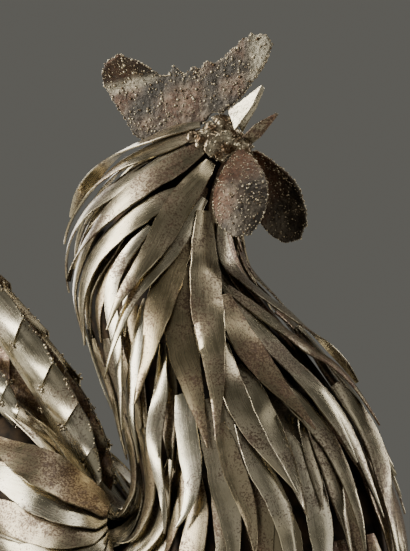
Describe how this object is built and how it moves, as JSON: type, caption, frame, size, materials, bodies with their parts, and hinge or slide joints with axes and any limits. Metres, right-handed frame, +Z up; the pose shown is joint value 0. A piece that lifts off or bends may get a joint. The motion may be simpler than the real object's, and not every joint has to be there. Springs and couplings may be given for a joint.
{
  "type": "rooster sculpture",
  "caption": "Standing rooster sculpture welded from overlapping steel blades, with a cut plate comb, open beak, cupped wattles and arched tail, on a flat plate",
  "frame": {"origin": "middle of the base plate's underside", "axes": "+X is the way the bird faces, +Z is up, +Y is the bird's left side"},
  "size_m": [0.7059, 0.3, 1.029],
  "materials": {
    "bar_steel": "bare flat bar, lacquered, with fine pits and warm yellow-grey tint",
    "rusty_bar_steel": "bare flat bar with orange-brown rust",
    "inner_steel": "dark, dull and sooty",
    "spattered_plate": "torch-cut plate covered in weld spatter",
    "dark_spattered_steel": "dark sheet, rough with weld beads",
    "beak_steel": "bright ground sheet",
    "weld_metal": "lumpy weld metal with a golden-brown skin",
    "tail_steel": "bare plate with ground faces",
    "brown_tail_steel": "brown rusted plate",
    "leg_steel": "dark bar with scale",
    "plate_steel": "hot rolled plate with mill scale and light rust"
  },
  "bodies": {
    "root": {"base_plate": "plate_steel", "breast_blade_01": "bar_steel", "breast_blade_02": "bar_steel", "breast_blade_03": "bar_steel", "breast_blade_04": "bar_steel", "breast_blade_05": "bar_steel", "breast_blade_06": "bar_steel", "breast_blade_07": "bar_steel", "breast_blade_08": "bar_steel", "breast_blade_09": "bar_steel", "breast_blade_10": "bar_steel", "breast_blade_11": "rusty_bar_steel", "breast_blade_12": "rusty_bar_steel", "comb": "spattered_plate", "hackle_blade_1": "bar_steel", "hackle_blade_2": "bar_steel", "hackle_blade_3": "bar_steel", "hackle_blade_4": "bar_steel", "hackle_blade_5": "bar_steel", "hackle_blade_6": "bar_steel", "head_weld": "weld_metal", "inner_feathers": "inner_steel", "left_breast_blade_1": "bar_steel", "left_breast_blade_2": "bar_steel", "left_hackle_blade_1": "bar_steel", "left_hackle_blade_2": "bar_steel", "left_neck_blade_1": "bar_steel", "left_neck_blade_2": "bar_steel", "leg_left": "leg_steel", "leg_right": "leg_steel", "lower_beak": "beak_steel", "neck_blade_01": "bar_steel", "neck_blade_02": "bar_steel", "neck_blade_03": "bar_steel", "neck_blade_04": "bar_steel", "neck_blade_05": "bar_steel", "neck_blade_06": "bar_steel", "neck_blade_07": "bar_steel", "neck_strip_right": "bar_steel", "saddle_blade_right_1": "bar_steel", "saddle_blade_right_2": "bar_steel", "tail_plate_1": "tail_steel", "tail_plate_2": "brown_tail_steel", "tail_plate_3": "brown_tail_steel", "tail_plate_4": "tail_steel", "tail_plate_5": "tail_steel", "tail_plate_6": "tail_steel", "tail_plate_7": "tail_steel", "throat_blade": "bar_steel", "upper_beak": "beak_steel", "wattle_left": "dark_spattered_steel", "wattle_right": "dark_spattered_steel", "wing_blade_left_1": "bar_steel", "wing_blade_left_2": "bar_steel", "wing_blade_left_3": "bar_steel", "wing_blade_right_1": "bar_steel", "wing_blade_right_2": "bar_steel", "wing_blade_right_3": "bar_steel", "wing_blade_right_4": "bar_steel", "wing_blade_right_5": "bar_steel"}
  },
  "joints": []
}
